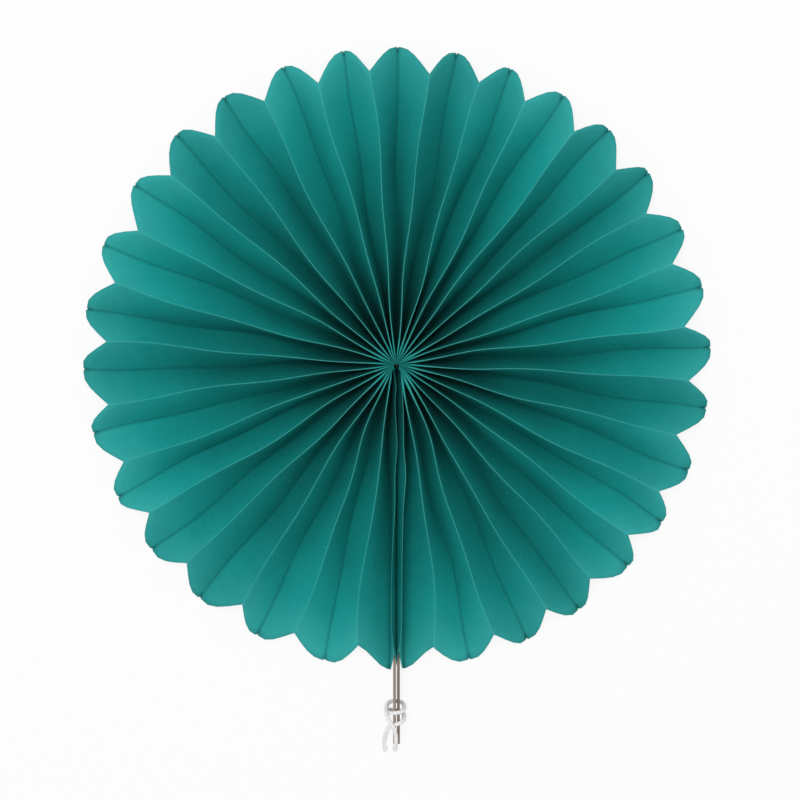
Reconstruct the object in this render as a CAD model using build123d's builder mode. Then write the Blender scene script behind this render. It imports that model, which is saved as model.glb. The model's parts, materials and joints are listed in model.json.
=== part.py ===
from build123d import *
import os
from math import asin, cos, degrees, hypot, pi, radians, sin, sqrt, tan

os.makedirs("parts", exist_ok=True)

# Paper fan rosette, lying on its back. Millimetres, +Z up out of the open pleats.
# The sticks run towards -Y, and Z = 0 is the table that the back folds rest on.
# The origin is on that table, under the middle of the whole outline.

# ---- driving dimensions ----
tip_radius = 150.0           # hub axis to the ends of the petals
notch_depth = 13.2           # the cuts between petals, from the petals' ends
shoulder_depth = 5.2         # the petal's outline, shoulder_share of the way across, from its end
fold_end_depth = 1.1         # the end of a back fold, from its petal's end
hub_radius = 2.5             # hub axis to the inner ends of the pleats
pleat_width = 20.0           # across one panel, fold to fold
paper_thickness = 0.12
ridge_count = 31             # front folds, not counting the two over the sticks
seam_angle = 14.0            # between the first and last ridges, across the sticks

stick_thickness = 1.4
stick_width = 8.0
stick_overhang = 34.0        # the handle, past the ends of the petals
stick_lift = 3.0             # table to the sticks
stick_corner = 0.6           # eased corners of a stick's ends
slit = 0.2                   # between the two wrapped sticks
wrap_clearance = 0.3         # paper to a stick, where it isn't glued

thread_diameter = 0.6
thread_radius = 6.0          # hub axis to the thread
thread_clearance = 0.15      # all round the thread in its holes

cord_diameter = 2.0

# Petal outline, as shares of a panel's width from its ridge to its back fold
shoulder_share = 0.45
peak_share = 0.88

# Uneven opening: how far the ridges stray from even spacing, in degrees
lean = 5.5                   # the side opposite the sticks, turned towards +X
crowding = 3.6               # pleats closer together opposite the sticks
ripple = 0.8                 # a slow wave from ridge to ridge
ripple_step = 0.6            # its radians from one ridge to the next
flutter = 0.3                # a quick one
flutter_step = 2.1

# The two pleats that wrap the sticks, measured out from a stick's outer face
foot_spread = 1.8            # their back folds, at the rim
edge_spread = [0.25, 0.4, 0.8, 1.3, -0.4]    # their front folds, at each station from hub to rim

# ---- derived values ----
fold_count = 2 * ridge_count + 1                        # back folds are even, ridges odd
notch_radius = tip_radius - notch_depth
shoulder_radius = tip_radius - shoulder_depth
fold_end_radius = tip_radius - fold_end_depth
trim_radius = tip_radius + 3.0                          # panels are built past the petals, then cut
growth = (trim_radius / hub_radius) ** (1 / (len(edge_spread) - 1))
stations = [hub_radius * growth**step for step in range(len(edge_spread))]
flap_inner = slit / 2                                   # seam plane to the paper between the sticks
stick_inner = flap_inner + paper_thickness
stick_outer = stick_inner + stick_thickness
stick_top = stick_lift + stick_width
bend_height = stick_top + wrap_clearance                # where the paper leaves the seam plane
foot_hub = stick_outer + wrap_clearance                 # half distance of the end back folds at the hub
thread_height = stick_lift + stick_width / 2
hole_radius = thread_diameter / 2 + thread_clearance
thread_sag = thread_radius - sqrt(thread_radius**2 - stick_outer**2)    # the ring's bend inside the sticks
stick_hole_radius = hole_radius + thread_sag / 2
handle_end = tip_radius + stick_overhang
hub_y = (handle_end - tip_radius) / 2
thread_pass_y = hub_y - thread_radius + thread_sag / 2


def plan_point(radius, azimuth):
    """Point of the table plane, with the azimuth in degrees clockwise from +Y at the hub."""
    return Vector(radius * sin(radians(azimuth)), hub_y + radius * cos(radians(azimuth)))


def ridge_azimuth(ridge):
    """Azimuth of a ridge at the rim, counted clockwise from the left of the sticks."""
    share = ridge / (ridge_count - 1)
    even = 180 + seam_angle / 2 + (360 - seam_angle) * share
    trend = lean * sin(pi * share) + crowding * sin(2 * pi * share)
    return even + trend + ripple * sin(ripple_step * ridge) + flutter * sin(flutter_step * ridge)


def rim_azimuth(fold):
    """Azimuth of a fold at the rim. A back fold lies midway between its ridges."""
    foot = degrees(asin((stick_outer + foot_spread) / trim_radius))
    if fold == 0:
        return 180 + foot
    if fold == fold_count - 1:
        return 540 - foot
    return (ridge_azimuth((fold - 1) // 2) + ridge_azimuth(fold // 2)) / 2


def fold_point(fold, radius):
    """Plan point of a fold, which runs straight from the hub's ring of inner ends to the rim."""
    foot = degrees(asin(foot_hub / hub_radius))
    inner = plan_point(hub_radius, 180 + foot + (360 - 2 * foot) * fold / (fold_count - 1))
    outer = plan_point(trim_radius, rim_azimuth(fold))
    return inner + (outer - inner) * ((radius - hub_radius) / (trim_radius - hub_radius))


def mean_chord(fold, radius):
    """Plan width of the panels beside a fold."""
    here = fold_point(fold, radius)
    beside = [side for side in (fold - 1, fold + 1) if 0 <= side < fold_count]
    return sum((fold_point(side, radius) - here).length for side in beside) / len(beside)


def fold_height(chord):
    """How high the ridges stand over the back folds where the panels are this wide in plan."""
    return sqrt(pleat_width**2 - chord**2)


def fold_section(fold, radius):
    """Half the flat on a fold's crest, and the depth of paper below it."""
    chord = mean_chord(fold, radius)
    half_flat = paper_thickness * pleat_width / fold_height(chord) / 2
    slope = half_flat / (chord - half_flat)
    return half_flat, fold_height(chord) * slope / (1 + slope)


def make_panel(fold):
    """Panel from this fold to the next, lofted through upright sections that meet on the folds."""
    ridge, valley = (fold, fold + 1) if fold % 2 else (fold + 1, fold)
    with BuildPart() as panel:
        for radius in stations:
            crest = fold_point(ridge, radius)
            across = fold_point(valley, radius) - crest
            chord = across.length
            height = fold_height(mean_chord(ridge, radius))
            crest_flat, crest_depth = fold_section(ridge, radius)
            foot_flat, foot_depth = fold_section(valley, radius)
            upright = Plane(origin=crest, x_dir=across, z_dir=across.cross(Vector(0, 0, 1)))
            with BuildSketch(upright):
                with BuildLine():
                    Polyline(
                        (0, height - crest_depth),
                        (0, height),
                        (crest_flat, height),
                        (chord, foot_depth),
                        (chord, 0),
                        (chord - foot_flat, 0),
                        close=True,
                    )
                make_face()
        loft(ruled=True)
    return panel.part


def edge_half(radius):
    """Half distance between the front folds over the sticks."""
    for near, far, low, high in zip(stations, stations[1:], edge_spread, edge_spread[1:]):
        if radius <= far:
            break
    return stick_outer + low + (high - low) * (radius - near) / (far - near)


def make_end_pleat(side):
    """Pleat that goes up beside a stick, folds over it and is glued down its inner face."""
    fold = 0 if side < 0 else fold_count - 1
    with BuildPart() as pleat:
        for radius in stations:
            foot = fold_point(fold, radius)
            foot_x = abs(foot.X)
            edge_x = edge_half(radius)
            edge_z = fold_height(foot_x - edge_x)
            half_flat, depth = fold_section(fold, radius)
            half_paper = paper_thickness / 2
            run = edge_x - half_paper - flap_inner
            drop = paper_thickness * hypot(run, edge_z - bend_height) / run
            outline = [
                (foot_x, 0),
                (foot_x, depth),
                (edge_x + half_paper, edge_z),
                (edge_x - half_paper, edge_z),
                (flap_inner, bend_height),
                (flap_inner, stick_lift),
                (stick_inner, stick_lift),
                (stick_inner, bend_height),
                (edge_x - half_paper, edge_z - drop),
                (foot_x - half_flat, 0),
            ]
            with BuildSketch(Plane(origin=(0, foot.Y, 0), x_dir=(1, 0, 0), z_dir=(0, -1, 0))):
                with BuildLine():
                    Polyline(*[(side * x, z) for x, z in outline], close=True)
                make_face()
        loft(ruled=True)
    return pleat.part


def between(start, end, share):
    return start + (end - start) * share


def petal_edge(ridge_at, valley_at, outward):
    """One side of a petal's outline, where the arguments give a fold's plan point at a radius."""
    notch = ridge_at(notch_radius)
    shoulder = between(ridge_at(shoulder_radius), valley_at(shoulder_radius), shoulder_share)
    peak = between(ridge_at(tip_radius), valley_at(tip_radius), peak_share)
    corner_radius = (tip_radius * 3 + fold_end_radius) / 4
    corner = between(ridge_at(corner_radius), valley_at(corner_radius), (1 + peak_share) / 2)
    fold_end = valley_at(fold_end_radius)
    if outward:
        ThreePointArc(notch, shoulder, peak)
        ThreePointArc(peak, corner, fold_end)
    else:
        ThreePointArc(fold_end, corner, peak)
        ThreePointArc(peak, shoulder, notch)


def fold_at(fold):
    return lambda radius: fold_point(fold, radius)


def edge_at(side):
    return lambda radius: Vector(side * edge_half(radius), hub_y - radius)


# ---- the folded sheet ----
panels = [make_panel(fold) for fold in range(fold_count - 1)]
end_pleats = [make_end_pleat(side) for side in (-1, 1)]

with BuildPart() as pleated_paper:
    add(panels + end_pleats)
    with BuildSketch(Plane.XY.offset(-1)) as petals:
        with BuildLine():
            petal_edge(edge_at(-1), fold_at(0), True)
            for ridge in range(1, fold_count - 1, 2):
                petal_edge(fold_at(ridge), fold_at(ridge - 1), False)
                petal_edge(fold_at(ridge), fold_at(ridge + 1), True)
            petal_edge(edge_at(1), fold_at(fold_count - 1), False)
            Polyline(
                edge_at(1)(notch_radius),
                (flap_inner, hub_y - shoulder_radius),
                (-flap_inner, hub_y - shoulder_radius),
                edge_at(-1)(notch_radius),
            )
        make_face()
    extrude(amount=pleat_width + 2, mode=Mode.INTERSECT)
    with Locations((0, hub_y, thread_height)):
        Torus(thread_radius, hole_radius, mode=Mode.SUBTRACT)
pleated_paper.part.label = "pleated_paper"
export_step(pleated_paper.part, "parts/pleated_paper.step")


def make_stick(side):
    """Flat stick on its edge, drilled for the thread near its hidden end."""
    middle_x = side * (stick_inner + stick_outer) / 2
    length = handle_end - hub_radius
    with BuildPart() as stick:
        with Locations((middle_x, hub_y - handle_end, thread_height)):
            Box(stick_thickness, length, stick_width, align=(Align.CENTER, Align.MIN, Align.CENTER))
        fillet(stick.edges().filter_by(Axis.X), stick_corner)
        with Locations(Plane(origin=(0, thread_pass_y, thread_height), z_dir=(side, 0, 0))):
            Hole(stick_hole_radius)
    return stick.part


# ---- the two sticks ----
with BuildPart() as left_stick:
    add(make_stick(-1))
left_stick.part.label = "left_stick"
export_step(left_stick.part, "parts/left_stick.step")

with BuildPart() as right_stick:
    add(make_stick(1))
right_stick.part.label = "right_stick"
export_step(right_stick.part, "parts/right_stick.step")

# ---- the loop of thread that gathers the pleats ----
with BuildPart() as binding_thread:
    with Locations((0, hub_y, thread_height)):
        Torus(thread_radius, thread_diameter / 2)
binding_thread.part.label = "binding_thread"
export_step(binding_thread.part, "parts/binding_thread.step")

# ---- the cord that ties the sticks together: two turns, both ends left long ----
# Distances are from the hub axis, along -Y.
cord_route = [
    (-5.6, 191.0, 1.6),
    (-6.6, 186.0, 4.6),
    (-6.4, 180.5, 9.0),
    (-3.9, 175.6, 12.6),
    (3.4, 171.6, 12.7),
    (3.4, 168.6, 1.5),
    (-3.4, 165.6, 1.4),
    (-3.3, 167.3, 12.5),
    (3.3, 165.3, 12.6),
    (3.5, 161.6, 1.5),
    (-3.5, 159.8, 1.5),
    (-6.0, 163.5, 10.0),
    (-3.6, 170.0, 15.0),
    (-1.4, 175.5, 15.0),
    (-0.8, 181.0, 13.4),
    (-1.1, 185.2, 13.1),
    (-1.5, 189.0, 10.6),
]


def route_radii(points):
    """Radius of each corner's arc: as large as its two runs allow."""
    radii = []
    for before, corner, after in zip(points, points[1:], points[2:]):
        arriving = corner - before
        leaving = after - corner
        turn = radians(arriving.get_angle(leaving))
        radii.append(0.45 * min(arriving.length, leaving.length) / tan(turn / 2))
    return radii


cord_points = [Vector(x, hub_y - along, z) for x, along, z in cord_route]
cord_radii = route_radii(cord_points)
print("tie_cord radii", [round(radius, 2) for radius in cord_radii])

with BuildPart() as tie_cord:
    with BuildLine() as cord_path:
        FilletPolyline(*cord_points, radius=cord_radii)
    with BuildSketch(Plane(origin=cord_points[0], z_dir=cord_points[1] - cord_points[0])):
        Circle(cord_diameter / 2)
    sweep()
tie_cord.part.label = "tie_cord"
export_step(tie_cord.part, "parts/tie_cord.step")
cord_length = cord_path.wire().length
cord_section = pi * cord_diameter**2 / 4
print("tie_cord length", cord_length, "volume share", tie_cord.part.volume / cord_section / cord_length)
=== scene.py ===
import json
import math

import bmesh
import bpy
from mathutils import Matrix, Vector


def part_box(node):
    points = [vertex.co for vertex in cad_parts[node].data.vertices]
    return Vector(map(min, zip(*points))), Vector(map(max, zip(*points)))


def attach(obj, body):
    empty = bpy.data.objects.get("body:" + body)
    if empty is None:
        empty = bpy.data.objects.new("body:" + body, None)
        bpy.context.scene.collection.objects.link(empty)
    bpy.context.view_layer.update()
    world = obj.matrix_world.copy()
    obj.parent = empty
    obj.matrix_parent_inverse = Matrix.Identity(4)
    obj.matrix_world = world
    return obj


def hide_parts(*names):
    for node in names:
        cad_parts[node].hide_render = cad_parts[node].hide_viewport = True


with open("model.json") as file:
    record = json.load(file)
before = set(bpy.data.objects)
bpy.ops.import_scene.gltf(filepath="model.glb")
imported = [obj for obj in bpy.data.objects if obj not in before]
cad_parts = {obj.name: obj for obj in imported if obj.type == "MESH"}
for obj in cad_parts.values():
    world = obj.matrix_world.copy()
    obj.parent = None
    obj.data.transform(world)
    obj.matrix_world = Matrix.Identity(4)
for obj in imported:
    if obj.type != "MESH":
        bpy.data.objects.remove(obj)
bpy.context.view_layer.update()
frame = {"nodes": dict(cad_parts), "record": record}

# Paper fan rosette on its back: one pleated sheet, two flat sticks, a gathering thread and a tie.
# Metres, +Z up out of the open pleats, the sticks towards -Y.

mm = 0.001
mounts = {mount["name"]: Vector(mount["pos_m"]) for mount in frame["record"]["mounts"]}
hub = mounts["hub_back"]
stick_low, stick_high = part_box("right_stick")

# ---- the folded sheet, as it was cut and creased ----
tip_radius = 150 * mm
trim_radius = 153 * mm               # where the folds' rim azimuths are laid out
notch_depth = 13.2 * mm
fold_end_depth = 1.1 * mm            # the dip at a petal's end, on its back fold
peak_share = 0.88                    # the petal's peak, from its notch to its back fold
hub_radius = 2.5 * mm                # the ring that the folds leave from
crest_inner = 1.3 * mm               # the inner ends of the front folds
foot_inner = 0.15 * mm               # and of the back folds, pinched together
end_inner = 0.8 * mm                 # and of the folds over the sticks
pinch_radius = 3.0 * mm              # inside this the folds turn in towards the axis
pinch_gap = 3.0                      # degrees left open at the axis, on each side of the sticks
pleat_width = 20 * mm
paper_thickness = 0.12 * mm
ridge_count = 31
fold_count = 2 * ridge_count + 1
seam_angle = 14.0                    # degrees across the sticks, from the last ridge to the first

# Uneven opening, in degrees and radians, as in the pleats' construction
lean = 5.5
crowding = 3.6
ripple = 0.8
ripple_step = 0.6
flutter = 0.3
flutter_step = 2.1

# The end pleats, from the seam plane
flap_inner = 0.06 * mm
flap_lean = 0.06 * mm                # both flaps lean the same way, against each other
foot_hub = stick_high.x + 0.3 * mm
foot_rim = stick_high.x + 1.8 * mm
wrap_x = stick_high.x + 0.2 * mm     # the paper beside a stick's front edge
wrap_z = stick_high.z + 0.3 * mm
closing_length = 24 * mm             # the last stretch, where the two end pleats draw together


# ---- camera ----
def make_camera():
    """Looks down on the fan from a little above its far side, the handle at the lower edge."""
    tilt = math.radians(5.5)
    distance = 0.895
    aim = hub + Vector((0, 0, 10 * mm))
    data = bpy.data.cameras.new("camera")
    data.lens = 85
    data.sensor_width = 36
    data.shift_x = 0.0044
    data.shift_y = -0.0444
    camera = bpy.data.objects.new("camera", data)
    camera.location = aim + distance * Vector((0, math.sin(tilt), math.cos(tilt)))
    camera.rotation_euler = (-tilt, 0, 0)
    bpy.context.scene.collection.objects.link(camera)
    bpy.context.scene.camera = camera


# ---- material helpers ----
class Finish:
    """A material with its shader and short calls for the nodes that feed it."""

    def __init__(self, name, roughness, specular=0.3):
        self.material = bpy.data.materials.new(name)
        self.material.use_nodes = True
        self.nodes = self.material.node_tree.nodes
        self.links = self.material.node_tree.links
        self.shader = self.nodes["Principled BSDF"]
        self.shader.inputs["Roughness"].default_value = roughness
        self.shader.inputs["Specular IOR Level"].default_value = specular
        self.coordinates = self.nodes.new("ShaderNodeTexCoord")

    def place(self, source, scale):
        """Coordinates stretched by scale, from Object or UV."""
        mapping = self.nodes.new("ShaderNodeMapping")
        mapping.inputs["Scale"].default_value = scale
        self.links.new(self.coordinates.outputs[source], mapping.inputs["Vector"])
        return mapping.outputs["Vector"]

    def noise(self, vector, scale, detail=3.0, roughness=0.5):
        texture = self.nodes.new("ShaderNodeTexNoise")
        texture.inputs["Scale"].default_value = scale
        texture.inputs["Detail"].default_value = detail
        texture.inputs["Roughness"].default_value = roughness
        self.links.new(vector, texture.inputs["Vector"])
        return texture.outputs["Fac"]

    def attribute(self, name):
        node = self.nodes.new("ShaderNodeAttribute")
        node.attribute_name = name
        return node.outputs["Fac"]

    def spread(self, value, low, high, to_low=0.0, to_high=1.0):
        """The value from low to high, moved to the range from to_low to to_high."""
        node = self.nodes.new("ShaderNodeMapRange")
        node.inputs["From Min"].default_value = low
        node.inputs["From Max"].default_value = high
        node.inputs["To Min"].default_value = to_low
        node.inputs["To Max"].default_value = to_high
        self.links.new(value, node.inputs["Value"])
        return node.outputs["Result"]

    def ramp(self, value, stops):
        """Colours along a value, from a list of (place, colour)."""
        node = self.nodes.new("ShaderNodeValToRGB")
        elements = node.color_ramp.elements
        while len(elements) < len(stops):
            elements.new(0.5)
        for element, (place, colour) in zip(elements, stops):
            element.position = place
            element.color = (*colour, 1)
        self.links.new(value, node.inputs["Fac"])
        return node.outputs["Color"]

    def times(self, first, second):
        node = self.nodes.new("ShaderNodeMath")
        node.operation = "MULTIPLY"
        self.feed(node.inputs[0], first)
        self.feed(node.inputs[1], second)
        return node.outputs["Value"]

    def blend(self, share, first, second, mode="MIX"):
        """Two colours, each a socket or a written colour, blended by a share."""
        node = self.nodes.new("ShaderNodeMix")
        node.data_type = "RGBA"
        node.blend_type = mode
        self.feed(node.inputs["Factor"], share)
        self.feed(node.inputs["A"], first)
        self.feed(node.inputs["B"], second)
        return node.outputs["Result"]

    def feed(self, socket, value):
        if isinstance(value, bpy.types.NodeSocket):
            self.links.new(value, socket)
        else:
            socket.default_value = value

    def bump(self, height, distance, strength, under=None):
        node = self.nodes.new("ShaderNodeBump")
        node.inputs["Distance"].default_value = distance
        node.inputs["Strength"].default_value = strength
        self.links.new(height, node.inputs["Height"])
        if under is not None:
            self.links.new(under, node.inputs["Normal"])
        return node.outputs["Normal"]

    def finish(self, colour, normal=None):
        self.feed(self.shader.inputs["Base Color"], colour)
        if normal is not None:
            self.links.new(normal, self.shader.inputs["Normal"])
        return self.material


def dress(piece, material):
    piece.data.materials.clear()
    piece.data.materials.append(material)


def add_piece(name, mesh):
    piece = bpy.data.objects.new(name, mesh)
    bpy.context.scene.collection.objects.link(piece)
    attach(piece, "root")
    return piece


# ---- the tie ----
cord_diameter = 2 * mm
# across the sticks, distance from the hub axis along them, height, in millimetres
cord_route = [
    (-5.4, 190.0, 1.5),
    (-6.3, 185.5, 3.6),
    (-5.4, 180.0, 8.0),
    (-3.6, 174.6, 12.3),
    (3.0, 173.0, 12.8),
    (4.0, 171.6, 6.0),
    (3.2, 170.6, 1.5),
    (-3.2, 169.4, 1.5),
    (-4.1, 168.8, 6.5),
    (-3.0, 168.4, 12.4),
    (3.0, 167.8, 12.5),
    (4.1, 167.0, 7.0),
    (3.2, 165.6, 1.5),
    (-3.2, 165.2, 1.5),
    (-4.9, 166.0, 7.0),
    (-5.0, 168.4, 12.4),
    (-3.4, 171.2, 15.2),
    (-1.2, 175.0, 15.4),
    (-0.2, 179.4, 12.4),
    (-0.3, 184.4, 11.0),
    (-0.8, 188.4, 5.6),
]


def cord_line(route):
    """The smooth line that a cord follows, as points."""
    data = bpy.data.curves.new("cord_line", "CURVE")
    data.dimensions = "3D"
    spline = data.splines.new("NURBS")
    spline.points.add(len(route) - 1)
    for point, (across, along, height) in zip(spline.points, route):
        point.co = (across * mm, hub.y - along * mm, height * mm, 1)
    spline.order_u = 3
    spline.use_endpoint_u = True
    spline.resolution_u = 24
    holder = bpy.data.objects.new("cord_line", data)
    line = bpy.data.meshes.new_from_object(holder)
    points = [vertex.co.copy() for vertex in line.vertices]
    bpy.data.objects.remove(holder)
    return points


def twisted_strands(points, diameter, strands, lay_length, splay):
    """Strands laid round a line of points, loosened at both ends."""
    data = bpy.data.curves.new("strands", "CURVE")
    data.dimensions = "3D"
    data.bevel_depth = diameter * 0.27
    data.bevel_resolution = 2
    data.use_fill_caps = True
    lengths = [0.0]
    for before, after in zip(points, points[1:]):
        lengths.append(lengths[-1] + (after - before).length)
    sides = []
    side = Vector((1, 0, 0))
    for place in range(len(points)):
        ahead = points[min(place + 1, len(points) - 1)] - points[max(place - 1, 0)]
        side = (side - ahead * side.dot(ahead) / ahead.length_squared).normalized()
        sides.append((side, ahead.normalized().cross(side)))
    for strand in range(strands):
        spline = data.splines.new("POLY")
        spline.points.add(len(points) - 1)
        for place, (point, length) in enumerate(zip(points, lengths)):
            turn = 2 * math.pi * (length / lay_length + strand / strands)
            from_end = min(length, lengths[-1] - length)
            out = diameter * 0.25 * (1 + splay * max(0.0, 1 - from_end / (2 * diameter)))
            first, second = sides[place]
            offset = out * (math.cos(turn) * first + math.sin(turn) * second)
            spline.points[place].co = (*(point + offset), 1)
    holder = bpy.data.objects.new("strands", data)
    mesh = bpy.data.meshes.new_from_object(holder)
    bpy.data.objects.remove(holder)
    for polygon in mesh.polygons:
        polygon.use_smooth = True
    return mesh


def thread_finish(name, colour, shade):
    finish = Finish(name, 0.9, 0.2)
    grain = finish.place("Object", (1, 1, 1))
    fibres = finish.noise(grain, 2600, 4, 0.7)
    colour = finish.blend(finish.spread(fibres, 0.35, 0.65), shade, colour)
    return finish.finish(colour, finish.bump(fibres, 0.1 * mm, 0.5))


def make_tie():
    points = cord_line(cord_route)
    mesh = twisted_strands(points, cord_diameter, 3, 5 * mm, 0.6)
    cord = add_piece("cotton_tie", mesh)
    dress(cord, thread_finish("white_cotton", (0.98, 0.98, 0.97, 1), (0.86, 0.86, 0.86, 1)))
    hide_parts("tie_cord")


# ---- the pleats ----
def plan_point(radius, azimuth):
    """Point of the table plane, with the azimuth in degrees clockwise from +Y at the hub."""
    angle = math.radians(azimuth)
    return Vector((radius * math.sin(angle), radius * math.cos(angle))) + hub.xy


def ridge_azimuth(ridge):
    share = ridge / (ridge_count - 1)
    even = 180 + seam_angle / 2 + (360 - seam_angle) * share
    trend = lean * math.sin(math.pi * share) + crowding * math.sin(2 * math.pi * share)
    waves = ripple * math.sin(ripple_step * ridge) + flutter * math.sin(flutter_step * ridge)
    return even + trend + waves


def rim_azimuth(fold):
    """Azimuth of a fold at the rim. A back fold lies midway between its ridges."""
    foot = math.degrees(math.asin(foot_rim / trim_radius))
    if fold == 0:
        return 180 + foot
    if fold == fold_count - 1:
        return 540 - foot
    return (ridge_azimuth((fold - 1) // 2) + ridge_azimuth(fold // 2)) / 2


def swell(radius, middle, width):
    return math.exp(-(((radius - middle) / width) ** 2))


def sideways(fold, radius):
    """How far a fold strays clockwise from its straight line."""
    from_seam = min(fold, fold_count - 1 - fold)
    away = 1 if fold < fold_count / 2 else -1
    push = math.radians(3.5) * radius * swell(radius, 28 * mm, 22 * mm) * math.exp(-from_seam / 8)
    bow = 3.8 * mm * swell(radius, 98 * mm, 32 * mm) * {1: 1.0, 2: 0.35}.get(from_seam, 0.0)
    room = 0.22 * min(radius * math.pi / ridge_count, 4 * mm)
    slow = math.sin(2.3 * fold + radius / (24 * mm))
    quick = 0.6 * math.sin(1.3 * fold - radius / (10 * mm))
    wander = room * (slow + quick) if from_seam else 0.0
    return away * (push + bow) + wander


fold_ends = []


def lay_out_folds():
    """Where each fold starts at the hub's ring and ends at the rim."""
    foot = math.degrees(math.asin(foot_hub / hub_radius))
    for fold in range(fold_count):
        start = 180 + foot + (360 - 2 * foot) * fold / (fold_count - 1)
        inner = plan_point(hub_radius, start)
        outer = plan_point(trim_radius, rim_azimuth(fold))
        along = (outer - inner).normalized()
        fold_ends.append((inner, outer - inner, Vector((along.y, -along.x))))


def open_fold_point(fold, radius):
    inner, run, clockwise = fold_ends[fold]
    straight = inner + run * (radius - hub_radius) / (trim_radius - hub_radius)
    return straight + clockwise * sideways(fold, radius)


def fold_point(fold, radius):
    """Plan point of a fold, pinched together inside the pinch radius."""
    if radius > pinch_radius:
        return open_fold_point(fold, radius)
    turned = 180 + pinch_gap + (360 - 2 * pinch_gap) * fold / (fold_count - 1)
    out = (radius - foot_inner) / (pinch_radius - foot_inner)
    return plan_point(foot_inner, turned).lerp(open_fold_point(fold, pinch_radius), out)


def petal_end(ridge, valley, share):
    """Radius of the cut edge, with the share from a ridge to the back fold beside it."""
    depth = notch_depth * (1 + 0.06 * math.sin(1.7 * ridge))
    beside_sticks = valley in (0, fold_count - 1)
    peak = 0.97 if beside_sticks else peak_share + 0.05 * math.sin(2.3 * ridge + valley)
    fullness = 1.5 if beside_sticks else 1.15
    if share < peak:
        end = tip_radius - depth * (1 - math.sin(math.pi / 2 * (share / peak) ** fullness))
    else:
        dip = 1 - math.cos(math.pi / 2 * (share - peak) / (1 - peak))
        end = tip_radius - fold_end_depth * dip
    return end + 0.7 * mm * math.sin(2.9 * valley) * share


# Ridges pressed wide beside the hub, and how strongly
flattened = {7: 1.6, 41: 1.6, 57: 2.0, 59: 3.0, 61: 2.0}


def rise(width, run):
    """How high a panel of this width stands over its run, never quite flat."""
    return math.sqrt(width**2 - min(run, 0.9 * width) ** 2)


def crease_radii(ridge, radius, chord):
    """How roundly the sheet turns over a ridge and through a back fold."""
    pressed = flattened.get(ridge, 1 + 0.4 * math.sin(2.7 * ridge + 1))
    over = 0.15 * mm + 0.75 * mm * pressed * math.exp(-radius / (8 * mm))
    room = 0.92 if ridge in flattened else 0.58
    return min(over, room * chord), min(0.22 * mm, 0.35 * chord)


crease_share = 0.05                  # of a panel's width, on each side of a fold


def panel_point(panel, share, radius):
    """Point of the panel after fold number `panel`, share of the way to the next fold."""
    ridge, valley = (panel, panel + 1) if panel % 2 else (panel + 1, panel)
    from_ridge = share if panel % 2 else 1 - share
    crest = fold_point(ridge, radius)
    across = fold_point(valley, radius) - crest
    other = fold_point(2 * ridge - valley, radius)
    chord = across.length
    mean = (chord + (other - crest).length) / 2
    height = rise(pleat_width, mean)
    over, under = crease_radii(ridge, radius, chord)
    both = over + under
    centres = math.hypot(chord, height - both)
    slope = math.atan2(height - both, chord) + math.asin(both / centres)
    if from_ridge < crease_share:
        turn = slope * from_ridge / crease_share
        x = over * math.sin(turn)
        z = height - over * (1 - math.cos(turn))
    elif from_ridge > 1 - crease_share:
        turn = slope * (1 - from_ridge) / crease_share
        x = chord - under * math.sin(turn)
        z = under * (1 - math.cos(turn))
    else:
        down = (from_ridge - crease_share) / (1 - 2 * crease_share)
        start_x = over * math.sin(slope)
        start_z = height - over * (1 - math.cos(slope))
        end_x = chord - under * math.sin(slope)
        end_z = under * (1 - math.cos(slope))
        bulge = 0.05 * min(chord, 8 * mm) * math.sin(math.pi * down)
        bulge *= math.sin(1.9 * panel + radius / (45 * mm))
        x = start_x + (end_x - start_x) * down + bulge * math.sin(slope)
        z = start_z + (end_z - start_z) * down + bulge * math.cos(slope)
    plan = crest + across * x / chord
    return Vector((plan.x, plan.y, z + paper_thickness / 2))


def front_edge(side, radius):
    """How far the folded edge over a stick stands from the seam plane, towards +X."""
    drift = 2.0 * mm * swell(radius, 44 * mm, 36 * mm)
    kink = 0.9 * mm * swell(radius, 10 * mm, 5 * mm) if side < 0 else 0.0
    kink += side * 0.7 * mm * math.sin(radius / (7 * mm)) * swell(radius, 48 * mm, 16 * mm)
    apart = 1.9 * mm + 0.7 * mm * swell(radius, 110 * mm, 40 * mm)
    apart *= min(1, radius / pinch_radius)
    closing = max(0.0, radius - (tip_radius - closing_length)) / closing_length
    return side * apart * (1 - closing) + drift + kink


def end_point(side, from_edge, radius, on_flap):
    """Point of an end pleat: up beside a stick, over it and down its inner face."""
    fold = 0 if side < 0 else fold_count - 1
    foot = fold_point(fold, radius)
    wrap = Vector((side * min(wrap_x, abs(foot.x)), wrap_z))
    foot_run = math.hypot(foot.x - wrap.x, wrap_z)
    edge_x = front_edge(side, radius)
    edge_run = pleat_width - foot_run
    edge = Vector((edge_x, wrap_z + rise(edge_run, edge_x - wrap.x)))
    seam = Vector((side * flap_inner, wrap_z))
    if on_flap:
        turn, last = seam, Vector((side * flap_inner + flap_lean, stick_low.z))
    else:
        turn, last = wrap, Vector((foot.x, 0))
    first_run = (turn - edge).length
    second_run = (last - turn).length
    travelled = from_edge * (first_run + second_run)
    if travelled < first_run:
        spot = edge.lerp(turn, travelled / first_run)
    else:
        spot = turn.lerp(last, (travelled - first_run) / second_run)
    return Vector((spot.x, foot.y, spot.y + paper_thickness / 2))


across_panel = [0, 0.02, crease_share, 0.1, 0.3, 0.5, 0.7, 0.9, 1 - crease_share, 0.98]
row_count = 54
end_panels = 2                       # the up-and-over panel and the flap, on each side


def outward_share(row):
    """Share of the way from the hub to the cut edge. The rows lie closer near the hub."""
    return (row / row_count) ** 1.6


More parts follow.
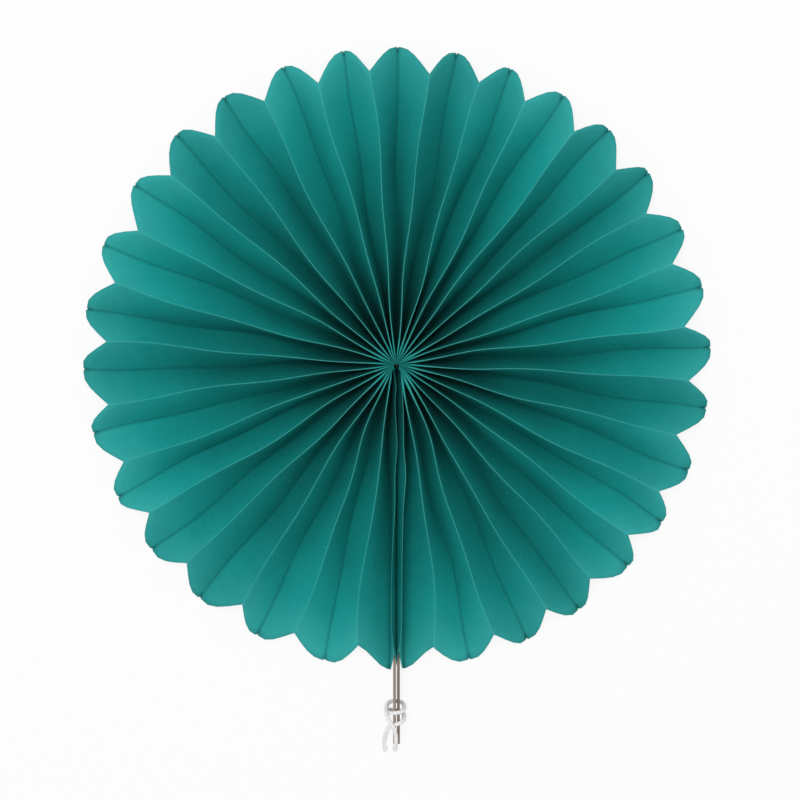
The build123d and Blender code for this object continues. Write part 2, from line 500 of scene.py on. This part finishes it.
def sheet_point(place, row):
    """Point of the folded sheet, from its place along the strip and its row from hub to rim."""
    panel = min(math.floor(place), fold_count - 2 + end_panels)
    share = place - panel
    outward = outward_share(row)
    if 0 <= panel < fold_count - 1:
        from_ridge = share if panel % 2 else 1 - share
        ridge, valley = (panel, panel + 1) if panel % 2 else (panel + 1, panel)
        start = crest_inner + (foot_inner - crest_inner) * from_ridge
        radius = start + (petal_end(ridge, valley, from_ridge) - start) * outward
        return panel_point(panel, share, radius)
    side = -1 if panel < 0 else 1
    foot = 0 if panel < 0 else fold_count - 1
    from_foot = abs(place - foot)
    on_flap = from_foot > 1
    from_edge = abs(from_foot - 1)
    cut_back = min(1, 3 * from_edge) if on_flap else from_edge
    start = end_inner + (foot_inner - end_inner) * cut_back
    end = petal_end(foot + side, foot, min(from_edge, 0.6) if on_flap else from_edge)
    radius = start + (end - start) * outward
    return end_point(side, from_edge, radius, on_flap)


def crest_share(place):
    """1 on a front fold, -1 on a back fold."""
    return -math.cos(math.pi * place)


def petal_tone(place):
    """From 0 to 1, how dark a petal's two panels were dyed."""
    valley = 2 * round(place / 2)
    return 0.5 + 0.5 * math.sin(2.39 * valley)


def make_paper():
    places = []
    for panel in range(-end_panels, fold_count - 1 + end_panels):
        places.extend(panel + share for share in across_panel)
    places.append(fold_count - 1 + end_panels)
    columns = len(places) - 1
    strip = fold_count - 1 + 2 * end_panels
    shaped = bmesh.new()
    shaped.loops.layers.uv.new("UVMap")
    crest = shaped.verts.layers.float.new("crest")
    outward = shaped.verts.layers.float.new("outward")
    tone = shaped.verts.layers.float.new("tone")
    bmesh.ops.create_grid(
        shaped, x_segments=columns, y_segments=row_count, size=0.5, calc_uvs=True
    )
    uv = shaped.loops.layers.uv.active
    for vertex in shaped.verts:
        column = round((vertex.co.x + 0.5) * columns)
        row = round((vertex.co.y + 0.5) * row_count)
        vertex[crest] = crest_share(places[column])
        vertex[outward] = outward_share(row)
        vertex[tone] = petal_tone(places[column])
        vertex.co = sheet_point(places[column], row)
    for face in shaped.faces:
        face.smooth = True
        for loop in face.loops:
            column = round(loop[uv].uv.x * columns)
            loop[uv].uv.x = (places[column] + end_panels) / strip
    mesh = bpy.data.meshes.new("folded_fan_paper")
    shaped.to_mesh(mesh)
    shaped.free()
    paper = add_piece("folded_fan_paper", mesh)
    wall = paper.modifiers.new("thickness", "SOLIDIFY")
    wall.thickness = paper_thickness
    wall.offset = 0
    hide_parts("pleated_paper")
    dress(paper, teal_paper())


def teal_paper():
    """Teal paper. Its colour darkens towards the hub as painted shade of the deep, narrow grooves and
    pales towards the cut rim; the folds carry painted highlights and painted shade.
    """
    finish = Finish("teal_paper", 0.95, 0.05)
    grain = finish.place("Object", (1, 1, 1))
    mottle = finish.noise(grain, 45, 3, 0.6)
    fibre = finish.noise(grain, 1100, 4, 0.65)
    crest = finish.attribute("crest")
    outward = finish.attribute("outward")
    # Painted shade: the paper's colour darkens towards the hub, where the grooves are deep and narrow,
    # and pales outward.
    dye_and_painted_light = finish.ramp(outward, [
        (0.0, (0.002, 0.06, 0.055)),
        (0.06, (0.004, 0.13, 0.12)),
        (0.16, (0.002, 0.11, 0.1)),
        (0.37, (0.003, 0.255, 0.233)),
        (0.65, (0.005, 0.3, 0.279)),
        (0.84, (0.012, 0.372, 0.351)),
        (1.0, (0.045, 0.452, 0.43)),
    ])
    dye_and_painted_light = finish.blend(finish.spread(mottle, 0.3, 0.7), dye_and_painted_light, (0.8, 0.88, 0.9, 1), "MULTIPLY")
    dye_and_painted_light = finish.blend(finish.attribute("tone"), dye_and_painted_light, (0.7, 0.8, 0.8, 1), "MULTIPLY")
    dye_and_painted_light = finish.blend(finish.spread(fibre, 0.4, 0.75, 0, 0.16), dye_and_painted_light, (0.1, 0.5, 0.46, 1))
    # The front folds: paler fold wear plus a painted highlight where they face the lamp, darkened
    # towards the hub as painted shade; the blend weakens outward.
    crest_wear_and_light = finish.ramp(outward, [
        (0.0, (0.01, 0.18, 0.165)),
        (0.05, (0.026, 0.36, 0.33)),
        (0.14, (0.07, 0.4, 0.365)),
        (1.0, (0.13, 0.47, 0.435)),
    ])
    on_crest = finish.spread(crest, 0.988, 0.9995)
    crest_strength = finish.spread(outward, 0.1, 1, 0.8, 0.3)
    dye_and_painted_light = finish.blend(finish.times(on_crest, crest_strength), dye_and_painted_light, crest_wear_and_light)
    # Painted shade along the back folds, deepest in their sharp creases and towards the hub.
    dye_and_painted_light = finish.blend(finish.spread(crest, -0.93, -1.0, 0, 0.4), dye_and_painted_light, (0.002, 0.09, 0.082, 1))
    valley_crease_shade = finish.times(finish.spread(crest, -0.99, -1.0), finish.spread(outward, 0.6, 1, 0.9, 0.45))
    dye_and_painted_light = finish.blend(valley_crease_shade, dye_and_painted_light, (0.001, 0.07, 0.064, 1))
    rough = finish.bump(fibre, 0.05 * mm, 0.35)
    wrinkles = finish.bump(mottle, 0.8 * mm, 0.25, rough)
    return finish.finish(dye_and_painted_light, wrinkles)


# ---- sticks and thread: the construction's own pieces, finished ----
def stick_wood(name, pale, dark):
    finish = Finish(name, 0.6, 0.35)
    grain = finish.place("Object", (1, 0.04, 1))
    streaks = finish.noise(grain, 1500, 4, 0.6)
    colour = finish.blend(finish.spread(streaks, 0.3, 0.7), dark, pale)
    return finish.finish(colour, finish.bump(streaks, 0.1 * mm, 0.3))


def finish_cad_pieces():
    nodes = frame["nodes"]
    pale = stick_wood("pale_stick", (0.4, 0.33, 0.27, 1), (0.24, 0.19, 0.15, 1))
    # The right stick gets a darker copy of the same wood.
    dark = stick_wood("dark_stick", (0.25, 0.2, 0.17, 1), (0.11, 0.085, 0.075, 1))
    thread = thread_finish("dark_thread", (0.006, 0.06, 0.055, 1), (0.002, 0.025, 0.022, 1))
    dress(nodes["left_stick"], pale)
    dress(nodes["right_stick"], dark)
    dress(nodes["binding_thread"], thread)


# ---- studio ----
def shown_to_lens(nodes, links):
    """1 for rays from the lens and for what gloss and glass show of the surroundings."""
    path = nodes.new("ShaderNodeLightPath")
    total = path.outputs["Is Camera Ray"]
    for kind in ("Is Glossy Ray", "Is Transmission Ray"):
        either = nodes.new("ShaderNodeMath")
        either.operation = "MAXIMUM"
        links.new(total, either.inputs[0])
        links.new(path.outputs[kind], either.inputs[1])
        total = either.outputs[0]
    return total


def make_world(strength):
    world = bpy.data.worlds.new("studio")
    world.use_nodes = True
    bpy.context.scene.world = world
    nodes, links = world.node_tree.nodes, world.node_tree.links
    soft = nodes["Background"]
    soft.inputs["Strength"].default_value = strength
    soft.inputs["Color"].default_value = (1, 1, 1, 1)
    white = nodes.new("ShaderNodeBackground")
    mix = nodes.new("ShaderNodeMixShader")
    white.inputs["Color"].default_value = (1, 1, 1, 1)
    links.new(shown_to_lens(nodes, links), mix.inputs[0])
    links.new(soft.outputs[0], mix.inputs[1])
    links.new(white.outputs[0], mix.inputs[2])
    links.new(mix.outputs[0], nodes["World Output"].inputs["Surface"])


def make_floor():
    shaped = bmesh.new()
    bmesh.ops.create_grid(shaped, x_segments=1, y_segments=1, size=3)
    mesh = bpy.data.meshes.new("floor")
    shaped.to_mesh(mesh)
    shaped.free()
    floor = bpy.data.objects.new("floor", mesh)
    bpy.context.scene.collection.objects.link(floor)
    material = bpy.data.materials.new("pale_floor")
    material.use_nodes = True
    nodes, links = material.node_tree.nodes, material.node_tree.links
    nodes["Principled BSDF"].inputs["Base Color"].default_value = (0.92, 0.92, 0.92, 1)
    nodes["Principled BSDF"].inputs["Roughness"].default_value = 0.9
    glow = nodes.new("ShaderNodeEmission")
    mix = nodes.new("ShaderNodeMixShader")
    share = nodes.new("ShaderNodeMath")
    share.operation = "MULTIPLY"
    share.inputs[1].default_value = 0.85
    links.new(shown_to_lens(nodes, links), share.inputs[0])
    links.new(share.outputs[0], mix.inputs[0])
    links.new(nodes["Principled BSDF"].outputs[0], mix.inputs[1])
    links.new(glow.outputs[0], mix.inputs[2])
    links.new(mix.outputs[0], nodes["Material Output"].inputs["Surface"])
    dress(floor, material)


def add_lamp(name, place, size, power):
    """Square lamp that faces the fan."""
    data = bpy.data.lights.new(name, "AREA")
    data.size = size
    data.energy = power
    lamp = bpy.data.objects.new(name, data)
    lamp.location = place
    lamp.rotation_euler = (hub - Vector(place)).to_track_quat("-Z", "Y").to_euler()
    bpy.context.scene.collection.objects.link(lamp)


make_camera()
make_tie()
lay_out_folds()
make_paper()
finish_cad_pieces()
make_floor()
make_world(0.45)
add_lamp("overhead", (-0.16, 0.33, 1.75), 0.9, 17.8)
bpy.context.scene.view_settings.view_transform = "Standard"
